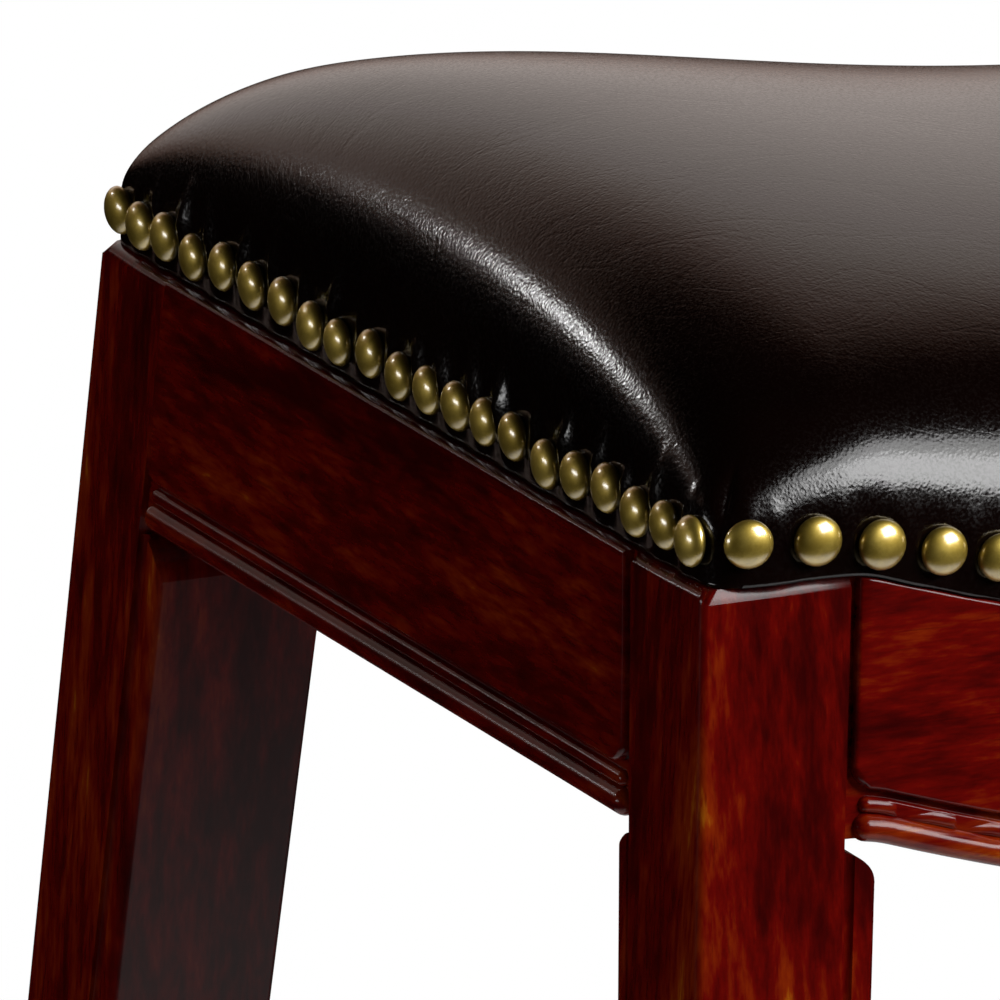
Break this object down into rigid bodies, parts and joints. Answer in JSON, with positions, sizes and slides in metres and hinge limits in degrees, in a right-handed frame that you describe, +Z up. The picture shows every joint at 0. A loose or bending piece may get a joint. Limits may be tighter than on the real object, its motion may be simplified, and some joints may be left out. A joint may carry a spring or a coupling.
{
  "type": "bar stool",
  "caption": "Backless bar stool with splayed wooden legs, moulded aprons, a padded leather saddle seat and round brass nails along its edge.",
  "frame": {"origin": "On the floor under the middle of the seat", "axes": "+Z up, +X along the seat's long side, +Y from the front long side to the back one"},
  "size_m": [0.5626, 0.4492, 0.7445],
  "materials": {
    "wood": "satin lacquer over a deep red-brown stain",
    "inner_wood": "bare",
    "foam": "open-cell foam, modelled as a soft solid",
    "leather": "finely wrinkled, semi-gloss",
    "cloth": "thin non-woven cloth",
    "brass": "antique brass, satin",
    "steel": "zinc plated",
    "plastic": "moulded"
  },
  "bodies": {
    "root": {"leg_front_left": "wood", "leg_front_right": "wood", "leg_back_left": "wood", "leg_back_right": "wood", "apron_front": "wood", "apron_back": "wood", "apron_left": "wood", "apron_right": "wood", "stretcher_front": "wood", "stretcher_back": "wood", "stretcher_left": "wood", "stretcher_right": "wood", "corner_block_front_left": "inner_wood", "corner_block_front_right": "inner_wood", "corner_block_back_left": "inner_wood", "corner_block_back_right": "inner_wood", "seat_board": "inner_wood", "foam_pad": "foam", "leather_cover": "leather", "dust_cloth": "cloth", "nails_front": "brass", "nails_back": "brass", "nails_left": "brass", "nails_right": "brass", "apron_dowels": "inner_wood", "block_screws": "steel", "seat_screws": "steel", "foot_glides": "plastic"}
  },
  "joints": []
}
